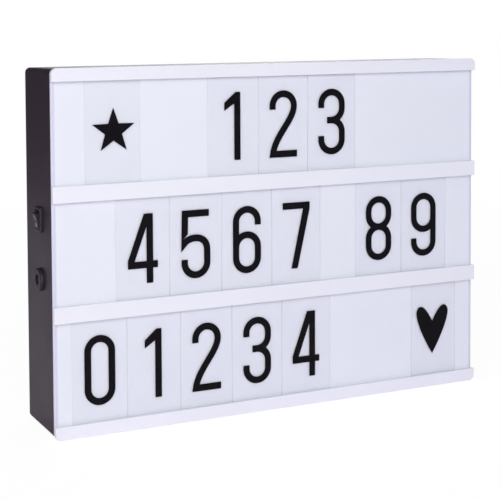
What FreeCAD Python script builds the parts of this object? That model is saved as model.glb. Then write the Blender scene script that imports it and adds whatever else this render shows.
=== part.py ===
import FreeCAD, Part
import Sketcher

import math
import os
import re

from FreeCAD import Placement, Rotation, Vector

# A cinema light box: a white front with letter rails on a dark tub that holds the lamps and the cells.
# +X is to the right seen from the front, +Y goes into the box, +Z is up. Millimetres.
# The origin is on the surface that the box stands on, under the middle of its width and depth.

DRIVING = {
    # the whole box
    "front_width": 300,
    "front_height": 220,
    "box_depth": 52,
    "corner_radius": 3.5,
    # diffuser panel
    "panel_inset": 0.3,
    "panel_thickness": 1.5,
    "panel_bevel": 0.8,
    "rib_thickness": 1.2,
    "rib_height": 4,
    "rib_gap": 0.2,
    # letter rails
    "rail_depth": 3,
    "outer_rail_height": 8,
    "inner_rail_height": 10,
    "lip_thickness": 1.5,
    "rail_end_stop": 2.5,
    "rail_edge_round": 0.3,
    "lower_groove_depth": 1.5,
    "peg_radius": 1.2,
    "peg_length": 0.9,
    "peg_end_margin": 20,
    "peg_gap": 0.1,
    "peg_from_edge": 3,
    # letter tiles
    "tile_width": 35.1,
    "tile_gap": 0.15,
    "tile_thickness": 0.5,
    "tile_corner": 1,
    "tile_in_upper_groove": 2,
    "tile_lift_gap": 0.2,
    "tile_panel_gap": 0.3,
    # where the runs of tiles stand: from the end of the rails, or their left end from the middle
    "star_from_end": 20.8,
    "top_run_start": -49,
    "middle_run_start": -110.4,
    "pair_run_start": 57.1,
    "long_run_from_end": 11.2,
    "heart_from_end": 14.5,
    # housing
    "housing_inset": 0.4,
    "housing_draft": 1,
    "housing_corner": 3.1,
    "housing_back_edge": 2.5,
    "wall_thickness": 2,
    # posts and screws that hold the front on
    "post_from_side": 8,
    "post_from_edge": 14,
    "pilot_depth": 8.5,
    "post_radius": 4,
    "post_end": 20,
    "post_web": 2.5,
    "well_radius": 3,
    "boss_radius": 3,
    "screw_radius": 1.45,
    "screw_head_radius": 2.7,
    "screw_head_height": 2,
    "screw_length": 10,
    "screw_drive_width": 0.7,
    "screw_drive_depth": 1,
    "screw_hole_gap": 0.25,
    "screw_thread_gap": 0.05,
    # switch and power socket in the left wall
    "port_depth": 24,
    "port_inset": 1,
    "port_wall": 2.2,
    "switch_height": 128.4,
    "socket_height": 92,
    "switch_length": 15,
    "switch_width": 10.5,
    "bezel_height": 2,
    "switch_body_length": 13.2,
    "switch_body_width": 8.4,
    "switch_body_depth": 10,
    "port_gap": 0.15,
    "port_seat_front": 11,
    "port_seat_back": 9,
    "port_seat_margin": 12,
    "rocker_half_length": 4.6,
    "rocker_half_heel": 3.2,
    "rocker_width": 6.9,
    "rocker_tip": 4.3,
    "rocker_valley": 3.9,
    "rocker_valley_half": 0.6,
    "rocker_shoulder": 1,
    "rocker_heel": 4.5,
    "rocker_pivot": 0.9,
    "rocker_tilt": 12,
    "rocker_gap": 0.15,
    "rocker_well_half": 6,
    "bezel_corner": 1,
    "bezel_round": 0.8,
    "rocker_well_depth": 8.4,
    "rocker_pin_radius": 0.9,
    "rocker_pin_reach": 0.4,
    "rocker_pin_gap": 0.05,
    "terminal_length": 5,
    "terminal_width": 3.5,
    "terminal_thickness": 0.6,
    "terminal_spread": 3.5,
    "switch_lead_out": 3,
    "flange_radius": 7,
    "flange_height": 2.5,
    "flange_round": 1.2,
    "barrel_radius": 4,
    "barrel_length": 9,
    "barrel_gap": 0.1,
    "socket_bore": 3.3,
    "socket_bore_depth": 9.5,
    "socket_pin": 1.05,
    "socket_pin_setback": 1.2,
    "socket_cap_length": 2.5,
    "socket_cap_radius": 3.6,
    "nut_across_flats": 11,
    "nut_height": 2,
    "tab_spread": 2,
    "tab_length": 3.5,
    "tab_width": 2,
    "socket_lead_out": 1.5,
    # battery bay
    "bay_height": 62,
    "cell_radius": 7.25,
    "cell_length": 49.5,
    "nub_radius": 2.6,
    "nub_length": 1,
    "cell_spacing": 0.5,
    "cell_gap": 0.2,
    "spring_space": 4,
    "spring_thickness": 0.4,
    "spring_half_length": 4,
    "spring_width": 6,
    "contact_thickness": 0.4,
    "contact_half_depth": 6,
    "contact_half_width": 5.5,
    "tongue_width": 3,
    "tongue_reach": 3,
    "tongue_gap": 0.2,
    "bay_wall": 1.5,
    "lid_ledge": 3.5,
    "lid_gap": 0.3,
    "lid_cell_gap": 0.4,
    "hinge_barrel_radius": 1.2,
    "hinge_pin_radius": 0.7,
    "hinge_pin_reach": 1.3,
    "hinge_pin_gap": 0.05,
    "latch_width": 10,
    "latch_thickness": 1.2,
    "latch_depth": 5,
    "latch_inset": 0.45,
    "latch_room": 2.5,
    "latch_gap": 0.5,
    "grip_groove_depth": 0.6,
    "grip_groove_width": 1.2,
    "grip_groove_pitch": 3,
    # reflector tray and lamps
    "tray_thickness": 1,
    "tray_side_gap": 9.1,
    "tray_side_slope": 9.5,
    "tray_end_gap": 2.6,
    "tray_end_slope": 7,
    "tray_front_gap": 1,
    "tray_post_from_side": 19,
    "tray_post_from_end": 12,
    "tray_post_radius": 3.5,
    "tray_pilot_depth": 10,
    "tray_screw_length": 8,
    "strip_end_gap": 11,
    "strip_height": 8,
    "strip_thickness": 1,
    "lamp_end_margin": 13,
    "lamp_size": 5,
    "lamp_thickness": 0.9,
    "feed_wire_on_board": 10,
    "feed_wire_half": 1.5,
    "feed_slot_half": 3,
    "feed_slot_half_width": 2,
    "outer_link_reach": 8,
    "outer_link_inset": 1,
    "inner_link_reach": 5.5,
    "inner_link_inset": 2.9,
    # driver board
    "board_from_side": 32,
    "board_width": 46,
    "board_margin": 8,
    "board_hole_from_left": 14,
    "board_thickness": 1.6,
    "standoff_height": 4.4,
    "standoff_radius": 3,
    "board_hole_inset": 4,
    "board_screw_radius": 1.2,
    "board_screw_head": 2.2,
    "board_screw_head_height": 1.6,
    "board_screw_length": 5,
    "connector_height": 5.5,
    "wire_height": 2,
    "connector_depth": 6,
    "connector_half": 6,
    "battery_plug_up": 25.5,
    "battery_lead_half": 2,
    "capacitor_radius": 3.15,
    "capacitor_height": 7,
    # wires
    "wire_radius": 0.7,
    "thin_wire_radius": 0.4,
    # hanging slots and feet
    "keyhole_spacing": 160,
    "keyhole_height": 165,
    "keyhole_radius": 4,
    "keyhole_slot_width": 4,
    "keyhole_slot_rise": 10,
    "foot_length": 24,
    "foot_width": 10,
    "foot_height": 1.6,
    "foot_from_side": 30,
    "foot_from_back": 8,
    "foot_seat_gap": 0.2,
}

# sizes that follow from the driving ones
DERIVED = {
    "back_outside": "(box_depth + rail_depth) / 2",
    "back_inside": "back_outside - wall_thickness",
    "panel_front": "back_outside - box_depth",
    "panel_back": "panel_front + panel_thickness",
    "rail_front": "panel_front - rail_depth",
    "opening_height": "(front_height - 2 * outer_rail_height - 2 * inner_rail_height) / 3",
    "row_pitch": "opening_height + inner_rail_height",
    "upper_groove_depth": "tile_in_upper_groove + lower_groove_depth + tile_lift_gap",
    "inner_peg": "(upper_groove_depth + inner_rail_height - lower_groove_depth) / 2",
    "tile_height": "opening_height + lower_groove_depth + tile_in_upper_groove",
    "housing_half_width": "front_width / 2 - housing_inset",
    "housing_depth": "box_depth - panel_thickness",
    "inside_half_width": "housing_half_width - wall_thickness",
    "inside_low": "housing_inset + wall_thickness",
    "inside_high": "front_height - housing_inset - wall_thickness",
    "post_front": "panel_back + post_end",
    "post_reach": "front_width / 2 - post_from_side",
    "port_flat": "front_width / 2 - port_inset",
    "port_center": "panel_front + port_depth",
    "port_inside": "port_flat - port_wall",
    "port_seat_low": "socket_height - port_seat_margin",
    "port_seat_high": "switch_height + port_seat_margin",
    "switch_lead_reach": "port_flat - switch_body_depth - switch_lead_out",
    "socket_lead_reach": "port_flat - barrel_length - socket_cap_length - socket_lead_out",
    "cell_axis": "back_inside - lid_cell_gap - cell_radius",
    "bay_floor": "cell_axis - cell_radius - cell_gap",
    "tray_back": "bay_floor - bay_wall",
    "tray_face": "tray_back - tray_thickness",
    "tray_front": "panel_back + rib_height + tray_front_gap",
    "tray_front_half": "inside_half_width - tray_side_gap",
    "tray_back_half": "tray_front_half - tray_side_slope",
    "tray_front_margin": "inside_low + tray_end_gap",
    "tray_back_margin": "tray_front_margin + tray_end_slope",
    "tray_post_reach": "tray_back_half - tray_post_from_side",
    "tray_post_margin": "tray_back_margin + tray_post_from_end",
    "strip_half_length": "tray_back_half - strip_end_gap",
    "strip_face": "tray_face - strip_thickness",
    "cell_pitch": "2 * cell_radius + cell_spacing",
    "bay_half_width": "3 * cell_pitch + cell_gap",
    "cell_reach": "cell_length + nub_length",
    "bay_length": "cell_reach + spring_space + 2 * contact_thickness",
    "bay_low": "bay_height - bay_length / 2",
    "bay_high": "bay_height + bay_length / 2",
    "recess_half_width": "bay_half_width + lid_ledge",
    "recess_low": "bay_low - lid_ledge",
    "recess_high": "bay_high + lid_ledge",
    "lid_low": "recess_low + lid_gap",
    "lid_high": "recess_high - lid_gap",
    "hinge_back": "back_outside - hinge_barrel_radius",
    "hinge_height": "lid_low + hinge_barrel_radius",
    "tongue_top": "recess_high + bay_wall + tongue_reach",
    "board_back": "back_inside - standoff_height",
    "board_face": "board_back - board_thickness",
    "wire_plane": "board_face - wire_height",
    "board_left": "front_width / 2 - board_from_side",
    "board_low": "socket_height - board_margin",
    "board_high": "switch_height + board_margin",
    "battery_plug_height": "board_low + battery_plug_up",
    "feed_wire_reach": "board_left - feed_wire_on_board",
    "foot_reach": "front_width / 2 - foot_from_side",
}

# the left end of each run of tiles
RUNS = {
    "star": "star_from_end - front_width / 2",
    "top": "top_run_start",
    "middle": "middle_run_start",
    "pair": "pair_run_start",
    "long": "long_run_from_end - front_width / 2",
    "heart": "front_width / 2 - heart_from_end - tile_width",
}
# the run that each tile of a row stands in
ROWS = {
    "bottom": ("long", "long", "long", "long", "long", "heart"),
    "middle": ("middle", "middle", "middle", "middle", "pair", "pair"),
    "top": ("star", "top", "top", "top"),
}
PEGS = 5
CELLS = 6
LAMPS = 8
SIDES = ("-", "")

doc = FreeCAD.newDocument("cinema_light_box")
sheet = doc.addObject("Spreadsheet::Sheet", "sizes")
nodes = []


def fill_sheet():
    for line, (alias, value) in enumerate({**DRIVING, **DERIVED}.items(), 1):
        sheet.set(f"A{line}", alias)
        sheet.set(f"B{line}", str(value) if alias in DRIVING else "=" + value)
        sheet.setAlias(f"B{line}", alias)
    doc.recompute()


def size(alias):
    return float(sheet.get(alias))


def tie(thing, place, formula):
    # a name with an underscore is an alias of the sheet
    thing.setExpression(place, re.sub(r"\b([a-z]+(?:_[a-z]+)+)\b", r"sizes.\1", str(formula)))


def node(thing, label):
    thing.Label = label
    nodes.append(thing)
    return thing


def start_body(name):
    return doc.addObject("PartDesign::Body", name + "_body")


def make(owner, kind, name):
    # the owner is the document, or the body that the feature belongs to
    if owner is doc:
        return doc.addObject("Part::" + kind, name)
    feature = owner.newObject("PartDesign::" + kind, name)
    owner.Tip = feature
    return feature


def box(owner, kind, name, x, y, z):
    # x, y and z are the lowest and the highest place along each axis
    solid = make(owner, kind, name)
    for side, letter, (low, high) in zip(("Length", "Width", "Height"), "xyz", (x, y, z)):
        tie(solid, side, f"({high}) - ({low})")
        tie(solid, "Placement.Base." + letter, low)
    return solid


def about(middle, half):
    return f"{middle} - ({half})", f"{middle} + ({half})"


TURNS = {
    "x": Rotation(Vector(0, 1, 0), 90),
    "y": Rotation(Vector(1, 0, 0), -90),
    "z": Rotation(),
}


def rod(owner, kind, name, axis, start, radius, length):
    # the start is the middle of the end from which the rod runs along +axis
    solid = make(owner, kind, name)
    solid.Placement = Placement(Vector(), TURNS[axis])
    for letter, place in zip("xyz", start):
        tie(solid, "Placement.Base." + letter, place)
    tie(solid, "Radius", radius)
    tie(solid, "Height", length)
    return solid


def join(name, things):
    whole = doc.addObject("Part::MultiFuse", name)
    whole.Shapes = things
    return whole


def gather(name, things):
    group = doc.addObject("Part::Compound", name)
    group.Links = things
    return group


def cut(name, base, tools):
    result = doc.addObject("Part::Cut", name)
    result.Base = base
    result.Tool = tools[0] if len(tools) == 1 else join(name + "_cutters", tools)
    return result


def edges(thing, chosen):
    doc.recompute()
    return [f"Edge{i}" for i, edge in enumerate(thing.Shape.Edges, 1) if chosen(edge.BoundBox)]


def reach(bounds, axis):
    return getattr(bounds, axis + "Length")


def long_edges(thing, axis):
    others = [letter for letter in "XYZ" if letter != axis]
    return edges(thing, lambda b: reach(b, axis) > 2 * max(reach(b, letter) for letter in others))


def corner_edges(thing, upper):
    # the edges from front to back above or below the middle
    doc.recompute()
    middle = thing.Shape.BoundBox.Center.z
    return edges(thing, lambda b: b.YLength > 2 * max(b.XLength, b.ZLength) and (b.Center.z > middle) == upper)


def flat_edges(thing, axis, place):
    # the edges that lie in the plane across the axis
    low, high = axis + "Min", axis + "Max"
    return edges(thing, lambda b: abs(getattr(b, low) - place) + abs(getattr(b, high) - place) < 0.01)


def soften(body, kind, name, thing, chosen, measure):
    feature = make(body, kind, name)
    feature.Base = (thing, chosen)
    tie(feature, "Radius" if kind == "Fillet" else "Size", measure)
    return feature


def sketch_across(body, name, y, z=0):
    # a sketch that stands across the box, its own x to the right and its own y up
    sketch = body.newObject("Sketcher::SketchObject", name)
    plane = next(feature for feature in body.Origin.OriginFeatures if feature.Role == "XZ_Plane")
    sketch.AttachmentSupport = (plane, [""])
    sketch.MapMode = "FlatFace"
    tie(sketch, "AttachmentOffset.Base.y", z)
    tie(sketch, "AttachmentOffset.Base.z", f"-({y})")
    return sketch


def outline(sketch, corners):
    # a closed outline through the corners
    for here, there in zip(corners, corners[1:] + corners[:1]):
        sketch.addGeometry(Part.LineSegment(here, there), False)
    for line in range(len(corners)):
        following = (line + 1) % len(corners)
        sketch.addConstraint(Sketcher.Constraint("Coincident", line, 2, following, 1))


def measure(sketch, label, values, formula):
    index = sketch.addConstraint(Sketcher.Constraint(*values))
    sketch.renameConstraint(index, label)
    tie(sketch, "Constraints." + label, formula)


def rectangle(body, name, y, middle, wide, high):
    # centred on x = 0 and on the height given
    sketch = sketch_across(body, name, y, middle)
    outline(sketch, [Vector(-20, -10, 0), Vector(20, -10, 0), Vector(20, 10, 0), Vector(-20, 10, 0)])
    for line in range(4):
        sketch.addConstraint(Sketcher.Constraint("Vertical" if line % 2 else "Horizontal", line))
    sketch.addConstraint(Sketcher.Constraint("Symmetric", 0, 1, 1, 2, -1, 1))
    measure(sketch, "wide", ("DistanceX", 0, 1, 0, 2, 40), wide)
    measure(sketch, "high", ("DistanceY", 1, 1, 1, 2, 20), high)
    return sketch


def profile(body, name, y, corners):
    # each corner is its two places in the sketch, as formulas
    sketch = sketch_across(body, name, y)
    rough = [Vector(10 * math.cos(turn), 10 * math.sin(turn), 0)
             for turn in (math.tau * i / len(corners) for i in range(len(corners)))]
    outline(sketch, rough)
    for i, (right, up) in enumerate(corners):
        measure(sketch, f"right{i}", ("DistanceX", -1, 1, i, 1, rough[i].x), right)
        measure(sketch, f"up{i}", ("DistanceY", -1, 1, i, 1, rough[i].y), up)
    return sketch


def extrude(body, kind, name, sketch, length, taper=0):
    # runs from the sketch towards the back of the box
    feature = make(body, kind, name)
    feature.Profile = sketch
    feature.Reversed = kind == "Pad"
    tie(feature, "Length", length)
    tie(feature, "TaperAngle", taper)
    return feature


def lead(name, points, radius):
    # a round wire along straight runs joined by arcs
    path = []
    start = points[0]
    for before, corner, after in zip(points, points[1:], points[2:]):
        come, leave = corner - before, after - corner
        room = 0.45 * min(come.Length, leave.Length)
        come.normalize()
        leave.normalize()
        bend_in, bend_out = corner - come * room, corner + leave * room
        inward = (leave - come).normalize()
        turn = come.getAngle(leave)
        radius_of_bend = room / math.tan(turn / 2)
        centre = corner + inward * (radius_of_bend / math.cos(turn / 2))
        path.append(Part.LineSegment(start, bend_in).toShape())
        path.append(Part.Arc(bend_in, centre - inward * radius_of_bend, bend_out).toShape())
        start = bend_out
    path.append(Part.LineSegment(start, points[-1]).toShape())
    section = Part.Wire(Part.Circle(points[0], points[1] - points[0], radius).toShape())
    tube = doc.addObject("Part::Feature", name)
    tube.Shape = Part.Wire(path).makePipeShell([section], True, False)
    run = sum(edge.Length for edge in path)
    print(f"{name}: {run:.1f} mm of wire, volume over section times length "
          f"{tube.Shape.Volume / (math.pi * radius ** 2 * run):.4f}")
    return tube


fill_sheet()

# --- diffuser panel -------------------------------------------------------------------------

MID_HEIGHT = "front_height / 2"
POSTS = [(side + "post_reach", height) for side in SIDES
         for height in ("post_from_edge", "(front_height - post_from_edge)")]
SCREW_PILOT = "screw_radius + screw_thread_gap"
# name, lowest edge, height and the height of the pegs
RAILS = (
    ("letter_rail_bottom", "0", "outer_rail_height", "peg_from_edge"),
    ("letter_rail_lower", "outer_rail_height + opening_height", "inner_rail_height", "inner_peg"),
    ("letter_rail_upper", "outer_rail_height + opening_height + row_pitch", "inner_rail_height", "inner_peg"),
    ("letter_rail_top", "front_height - outer_rail_height", "outer_rail_height",
     "outer_rail_height - peg_from_edge"),
)


def front_panel():
    body = start_body("panel")
    face = rectangle(body, "panel_outline", "panel_front", MID_HEIGHT,
                     "front_width - 2 * panel_inset", "front_height - 2 * panel_inset")
    plate = extrude(body, "Pad", "panel_plate", face, "panel_thickness")
    corners = soften(body, "Fillet", "panel_corners", plate, long_edges(plate, "Y"),
                     "corner_radius - panel_inset")
    soften(body, "Chamfer", "panel_edge_bevel", corners,
           flat_edges(corners, "Y", size("panel_front")), "panel_bevel")
    rib_wide = "2 * (inside_half_width - rib_gap)"
    rib_high = "(inside_high - inside_low - 2 * rib_gap)"
    ring = rectangle(body, "rib_outline", "panel_back", MID_HEIGHT, rib_wide, rib_high)
    extrude(body, "Pad", "locating_rib", ring, "rib_height")
    room = rectangle(body, "rib_room_outline", "panel_back", MID_HEIGHT,
                     f"{rib_wide} - 2 * rib_thickness", f"{rib_high} - 2 * rib_thickness")
    extrude(body, "Pocket", "rib_room", room, "rib_height")
    for i, (x, z) in enumerate(POSTS, 1):
        rod(body, "AdditiveCylinder", f"screw_boss_{i}", "y", (x, "panel_back", z),
            "boss_radius", "post_end")
        rod(body, "SubtractiveCylinder", f"boss_pilot_{i}", "y",
            (x, "post_front - pilot_depth", z), SCREW_PILOT, "pilot_depth")
    for name, low, _, peg in RAILS:
        hole = rod(body, "SubtractiveCylinder", name + "_peg_hole", "y",
                   ("peg_end_margin - front_width / 2", "panel_front", f"{low} + {peg}"),
                   "peg_radius + peg_gap", "peg_length + peg_gap")
        repeat_along_x(body, name + "_peg_holes", hole)
    return body


def repeat_along_x(body, name, feature):
    row = make(body, "LinearPattern", name)
    axis = next(line for line in body.Origin.OriginFeatures if line.Role == "X_Axis")
    row.Originals = [feature]
    row.Direction = (axis, [""])
    row.Occurrences = PEGS
    tie(row, "Length", "front_width - 2 * peg_end_margin")
    return row


def rail(name, low, height, peg):
    body = start_body(name)
    face = rectangle(body, name + "_outline", "rail_front", f"{low} + {height} / 2", "front_width", height)
    bar = extrude(body, "Pad", name + "_bar", face, "rail_depth")
    if name in ("letter_rail_top", "letter_rail_bottom"):
        bar = soften(body, "Fillet", name + "_corners", bar,
                     corner_edges(bar, name == "letter_rail_top"), "corner_radius")
    soften(body, "Fillet", name + "_edge", bar, flat_edges(bar, "Y", size("rail_front")), "rail_edge_round")
    groove_x = about("0", "front_width / 2 - rail_end_stop")
    groove_y = ("rail_front + lip_thickness", "panel_front")
    if name != "letter_rail_bottom":
        box(body, "SubtractiveBox", name + "_upper_groove", groove_x, groove_y,
            (low, f"{low} + upper_groove_depth"))
    if name != "letter_rail_top":
        box(body, "SubtractiveBox", name + "_lower_groove", groove_x, groove_y,
            (f"{low} + {height} - lower_groove_depth", f"{low} + {height}"))
    pin = rod(body, "AdditiveCylinder", name + "_peg", "y",
              ("peg_end_margin - front_width / 2", "panel_front", f"{low} + {peg}"),
              "peg_radius", "peg_length")
    repeat_along_x(body, name + "_pegs", pin)
    return body


node(front_panel(), "front_panel")
for rail_values in RAILS:
    node(rail(*rail_values), rail_values[0])

# --- letter tiles ---------------------------------------------------------------------------


def tile(name, left, row):
    body = start_body(name)
    low = f"outer_rail_height + {row} * row_pitch - lower_groove_depth"
    face = rectangle(body, name + "_outline", "panel_front - tile_panel_gap - tile_thickness",
                     f"{low} + tile_height / 2", "tile_width", "tile_height")
    plate = extrude(body, "Pad", name + "_plate", face, "tile_thickness")
    soften(body, "Fillet", name + "_corners", plate, long_edges(plate, "Y"), "tile_corner")
    tie(body, "Placement.Base.x", f"{left} + tile_width / 2")
    return body


for row_index, (row_name, runs) in enumerate(ROWS.items()):
    for number, run in enumerate(runs):
        tile_name = f"tile_{row_name}_{number + 1}"
        left_end = f"{RUNS[run]} + {runs[:number].count(run)} * (tile_width + tile_gap)"
        node(tile(tile_name, left_end, row_index), tile_name)

# --- housing --------------------------------------------------------------------------------

WELL = "(back_outside - post_front - post_web)"
BLOCK_X = about("0", "recess_half_width + bay_wall")
BLOCK_Z = ("recess_low - bay_wall", "recess_high + bay_wall")
TRAY_POSTS = [(side + "tray_post_reach", height) for side in SIDES
              for height in ("tray_post_margin", "(front_height - tray_post_margin)")]
BOARD_POSTS = [("-board_left + board_hole_from_left", "board_low + board_hole_inset"),
               ("-board_left + board_width - board_hole_inset", "board_high - board_hole_inset")]
FOOT_Y = ("back_outside - foot_from_back - foot_width", "back_outside - foot_from_back")


def cell_x(index):
    return f"({index - (CELLS - 1) / 2} * cell_pitch)"


def rear_housing():
    body = start_body("housing")
    shell = rectangle(body, "shell_outline", "panel_back", MID_HEIGHT,
                      "2 * housing_half_width", "front_height - 2 * housing_inset")
    tub = extrude(body, "Pad", "shell", shell, "housing_depth", "-housing_draft")
    tub = soften(body, "Fillet", "shell_corners", tub, long_edges(tub, "Y"), "housing_corner")
    soften(body, "Fillet", "shell_back_edge", tub, flat_edges(tub, "Y", size("back_outside")),
           "housing_back_edge")
    room = rectangle(body, "room_outline", "panel_back", MID_HEIGHT,
                     "2 * inside_half_width", "inside_high - inside_low")
    extrude(body, "Pocket", "room", room, "back_inside - panel_back", "-housing_draft")
    box(body, "AdditiveBox", "port_pad", ("-port_flat + 1", "-port_inside"),
        ("port_center - port_seat_front", "port_center + port_seat_back"),
        ("port_seat_low", "port_seat_high"))
    box(body, "SubtractiveBox", "port_seat", ("-port_flat - 2", "-port_flat"),
        ("port_center - port_seat_front", "port_center + port_seat_back"),
        ("port_seat_low", "port_seat_high"))
    box(body, "SubtractiveBox", "switch_opening", ("-port_flat - 2", "-port_inside + 1"),
        about("port_center", "switch_body_width / 2 + port_gap"),
        about("switch_height", "switch_body_length / 2 + port_gap"))
    rod(body, "SubtractiveCylinder", "socket_opening", "x",
        ("-port_flat - 2", "port_center", "socket_height"), "barrel_radius + barrel_gap", "port_wall + 3")
    for i, (x, z) in enumerate(POSTS, 1):
        rod(body, "AdditiveCylinder", f"screw_post_{i}", "y", (x, "post_front", z),
            "post_radius", "back_inside - post_front + 1")
        rod(body, "SubtractiveCylinder", f"screw_well_{i}", "y", (x, "post_front + post_web", z),
            "well_radius", WELL)
        rod(body, "SubtractiveCylinder", f"screw_hole_{i}", "y", (x, "post_front", z),
            "screw_radius + screw_hole_gap", "post_web")
    for i, (x, z) in enumerate(TRAY_POSTS, 1):
        rod(body, "AdditiveCylinder", f"tray_post_{i}", "y", (x, "tray_back", z),
            "tray_post_radius", "back_inside - tray_back + 1")
        rod(body, "SubtractiveCylinder", f"tray_pilot_{i}", "y", (x, "tray_back", z),
            SCREW_PILOT, "tray_pilot_depth")
    for i, (x, z) in enumerate(BOARD_POSTS, 1):
        rod(body, "AdditiveCylinder", f"board_post_{i}", "y", (x, "board_back", z),
            "standoff_radius", "standoff_height + 1")
        rod(body, "SubtractiveCylinder", f"board_pilot_{i}", "y", (x, "board_back", z),
            "board_screw_radius + screw_thread_gap", "board_screw_length - 1")
    box(body, "AdditiveBox", "bay_block", BLOCK_X, ("tray_back", "back_inside + 1"), BLOCK_Z)
    box(body, "SubtractiveBox", "bay", about("0", "bay_half_width"),
        ("bay_floor", "back_outside"), ("bay_low", "bay_high"))
    box(body, "SubtractiveBox", "lid_recess", about("0", "recess_half_width"),
        ("back_inside", "back_outside"), ("recess_low", "recess_high"))
    rod(body, "SubtractiveCylinder", "hinge_groove", "x",
        ("-recess_half_width", "hinge_back", "hinge_height"),
        "hinge_barrel_radius + lid_gap", "2 * recess_half_width")
    rod(body, "SubtractiveCylinder", "hinge_pin_holes", "x",
        ("-recess_half_width - hinge_pin_reach", "hinge_back", "hinge_height"),
        "hinge_pin_radius + hinge_pin_gap", "2 * (recess_half_width + hinge_pin_reach)")
    for i, side in enumerate(SIDES, 1):
        box(body, "SubtractiveBox", f"tongue_slot_{i}",
            about(f"{side}2.5 * cell_pitch", "tongue_width / 2 + tongue_gap"),
            about("wire_plane", "contact_thickness / 2 + tongue_gap"),
            ("bay_high", "recess_high + bay_wall"))
        box(body, "SubtractiveBox", f"foot_seat_{i}",
            about(side + "foot_reach", "foot_length / 2 + foot_seat_gap"),
            (f"{FOOT_Y[0]} - foot_seat_gap", f"{FOOT_Y[1]} + foot_seat_gap"), ("-1", "foot_height"))
        rod(body, "SubtractiveCylinder", f"keyhole_entry_{i}", "y",
            (side + "keyhole_spacing / 2", "back_inside - 1", "keyhole_height"), "keyhole_radius",
            "wall_thickness + 2")
        box(body, "SubtractiveBox", f"keyhole_slot_{i}",
            about(side + "keyhole_spacing / 2", "keyhole_slot_width / 2"),
            ("back_inside - 1", "back_outside + 1"),
            ("keyhole_height", "keyhole_height + keyhole_slot_rise"))
        rod(body, "SubtractiveCylinder", f"keyhole_end_{i}", "y",
            (side + "keyhole_spacing / 2", "back_inside - 1", "keyhole_height + keyhole_slot_rise"),
            "keyhole_slot_width / 2", "wall_thickness + 2")
    box(body, "SubtractiveBox", "latch_pocket", about("0", "latch_width / 2 + 1"),
        ("back_inside - latch_depth - latch_room", "back_inside"),
        ("lid_high - latch_inset - latch_thickness - latch_gap", "recess_high"))
    return body


def rear_foot_pads():
    pads = [box(doc, "Box", f"foot_pad_{i}", about(side + "foot_reach", "foot_length / 2"),
                FOOT_Y, ("0", "foot_height")) for i, side in enumerate(SIDES, 1)]
    return gather("foot_pads", pads)


node(rear_housing(), "rear_housing")
node(rear_foot_pads(), "rear_foot_pads")

# --- screws ---------------------------------------------------------------------------------


def screws(name, places, seat, toward, head, head_height, shank, length):
    # the head stands on the seat, and the shank runs from it towards -y or +y
    made = []
    for i, (x, z) in enumerate(places, 1):
        head_y, shank_y = (seat, f"{seat} - {length}") if toward == "-" else (f"{seat} - {head_height}", seat)
        parts = [rod(doc, "Cylinder", f"{name}_head_{i}", "y", (x, head_y, z), head, head_height),
                 rod(doc, "Cylinder", f"{name}_shank_{i}", "y", (x, shank_y, z), shank, length)]
        drive = box(doc, "Box", f"{name}_drive_{i}", about(x, "screw_drive_width / 2"),
                    (f"{head_y} + {head_height} - screw_drive_depth", f"{head_y} + {head_height}")
                    if toward == "-" else (head_y, f"{head_y} + screw_drive_depth"),
                    about(z, f"{head} * 0.7"))
        cross = box(doc, "Box", f"{name}_drive_across_{i}", about(x, f"{head} * 0.7"),
                    (f"{head_y} + {head_height} - screw_drive_depth", f"{head_y} + {head_height}")
                    if toward == "-" else (head_y, f"{head_y} + screw_drive_depth"),
                    about(z, "screw_drive_width / 2"))
        made.append(cut(f"{name}_{i}", join(f"{name}_blank_{i}", parts), [drive, cross]))
    return gather(name + "_set", made)


node(screws("housing_screw", POSTS, "post_front + post_web", "-", "screw_head_radius",
            "screw_head_height", "screw_radius", "screw_length"), "housing_screws")
node(screws("tray_screw", TRAY_POSTS, "tray_face", "+", "screw_head_radius",
            "screw_head_height", "screw_radius", "tray_screw_length"), "tray_screws")
node(screws("board_screw", BOARD_POSTS, "board_face", "+", "board_screw_head",
            "board_screw_head_height", "board_screw_radius", "board_screw_length"), "board_screws")

# --- reflector tray and lamps ---------------------------------------------------------------


def frustum(name, back, wall):
    # the space between the tray's wide front and its narrower back, less the wall all round
    solid = make(doc, "Wedge", name)
    for place, formula in {
        "Ymin": "tray_front", "Ymax": back,
        "Xmin": f"-(tray_front_half - {wall})", "Xmax": f"tray_front_half - {wall}",
        "Zmin": f"tray_front_margin + {wall}", "Zmax": f"front_height - tray_front_margin - {wall}",
        "X2min": f"-(tray_back_half - {wall})", "X2max": f"tray_back_half - {wall}",
        "Z2min": f"tray_back_margin + {wall}", "Z2max": f"front_height - tray_back_margin - {wall}",
    }.items():
        tie(solid, place, formula)
    return solid


def row_height(index):
    return f"(outer_rail_height + opening_height / 2 + {index} * row_pitch)"


def reflector_tray():
    holes = [rod(doc, "Cylinder", f"tray_hole_{i}", "y", (x, "tray_face - 1", z),
                 "screw_radius + screw_hole_gap", "tray_thickness + 2")
             for i, (x, z) in enumerate(TRAY_POSTS, 1)]
    slot = box(doc, "Box", "tray_wire_slot", about("-feed_wire_reach", "feed_slot_half_width"),
               ("tray_face - 1", "tray_back + 1"), about(row_height(1), "feed_slot_half"))
    return cut("tray", frustum("tray_outside", "tray_back", "0"),
               [frustum("tray_inside", "tray_face", "tray_thickness"), slot] + holes)


def led_strip(name, index):
    return box(doc, "Box", name, about("0", "strip_half_length"), ("strip_face", "tray_face"),
               about(row_height(index), "strip_height / 2"))


def led_chips():
    chips = [box(doc, "Box", f"lamp_{row}_{i}",
                 about(f"({2 * i / (LAMPS - 1) - 1:.6f} * (strip_half_length - lamp_end_margin))",
                       "lamp_size / 2"),
                 ("strip_face - lamp_thickness", "strip_face"),
                 about(row_height(row), "lamp_size / 2"))
             for row in range(len(ROWS)) for i in range(LAMPS)]
    return gather("lamps", chips)


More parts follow.
